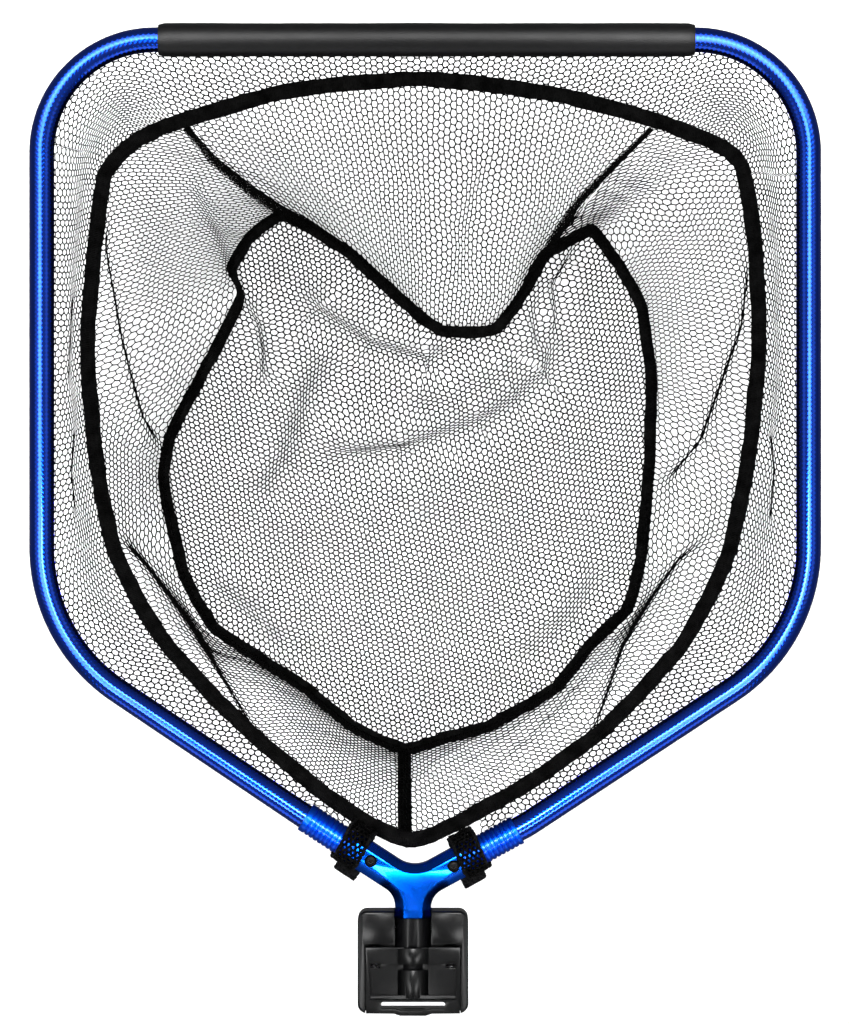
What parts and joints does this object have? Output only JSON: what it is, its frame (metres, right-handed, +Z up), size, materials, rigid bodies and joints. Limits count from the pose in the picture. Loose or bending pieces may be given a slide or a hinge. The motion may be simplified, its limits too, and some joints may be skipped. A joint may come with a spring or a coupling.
{
  "type": "landing net head",
  "caption": "Square-topped tubular landing net hoop with a foam bar, a taped mesh bag, a Y yoke and a quick-release dock with a strap slot.",
  "frame": {"origin": "on the floor under the middle of the head, at the level the bag's base panel rests on", "axes": "+Y from the handle dock towards the foam bar, +Z up out of the bag's mouth, +X to the right seen from above"},
  "size_m": [0.506, 0.6328, 0.1446],
  "materials": {
    "anodised_blue": "gloss blue anodised",
    "yoke_blue": "satin blue anodised",
    "black_foam": "closed-cell foam, satin",
    "black_mesh": "knotless hexagonal mesh, lightly coated",
    "black_tape": "woven binding tape",
    "black_nylon": "satin moulded nylon",
    "black_acetal": "polished moulded acetal",
    "black_steel": "black oxide",
    "spring_steel": "drawn spring wire",
    "hook_and_loop": "hook-and-loop pile",
    "bead_cord": "extruded bead"
  },
  "bodies": {
    "net_head": {"hoop_tube": "anodised_blue", "collar_left": "anodised_blue", "collar_right": "anodised_blue", "yoke": "yoke_blue", "foam_sleeve": "black_foam", "edge_bead": "bead_cord", "yoke_screw_left": "black_steel", "yoke_screw_right": "black_steel", "spigot": "black_acetal", "spigot_screw": "black_steel", "rim_band": "black_mesh", "rim_tape": "black_tape", "front_panel": "black_mesh", "left_panel": "black_mesh", "right_panel": "black_mesh", "base_panel": "black_mesh", "base_tape": "black_tape", "front_left_seam_tape": "black_tape", "front_right_seam_tape": "black_tape", "rear_seam_tape": "black_tape", "strap_left": "black_mesh", "strap_right": "black_mesh", "strap_tab_left": "hook_and_loop", "strap_tab_right": "hook_and_loop"},
    "dock": {"dock_body": "black_nylon", "dock_back_plate": "black_nylon", "dock_screw_1": "black_steel", "dock_screw_2": "black_steel", "dock_screw_3": "black_steel", "dock_screw_4": "black_steel", "lock_spring_left": "spring_steel", "lock_spring_right": "spring_steel", "slider_spring_left": "spring_steel", "slider_spring_right": "spring_steel"},
    "slider": {"release_slider": "black_nylon"},
    "pin_left": {"lock_pin_left": "black_steel"},
    "pin_right": {"lock_pin_right": "black_steel"}
  },
  "joints": [
    {"name": "dock_release", "type": "slide", "parent": "net_head", "child": "dock", "axis": [0, -1, 0], "range_m": [0, 0.058]},
    {"name": "release_pull", "type": "slide", "parent": "dock", "child": "slider", "axis": [0, -1, 0], "range_m": [0, 0.003], "stiffness_N_per_m": 1500, "springref_m": -0.002, "deforming": ["slider_spring_left", "slider_spring_right"]},
    {"name": "left_pin_slide", "type": "slide", "parent": "dock", "child": "pin_left", "axis": [-1, 0, 0], "range_m": [0, 0.0015], "deforming": ["lock_spring_left"]},
    {"name": "right_pin_slide", "type": "slide", "parent": "dock", "child": "pin_right", "axis": [1, 0, 0], "range_m": [0, 0.0015], "deforming": ["lock_spring_right"]}
  ],
  "couplings": [
    {"joint": "left_pin_slide", "follows": "release_pull", "ratio": 0.5},
    {"joint": "right_pin_slide", "follows": "release_pull", "ratio": 0.5}
  ]
}
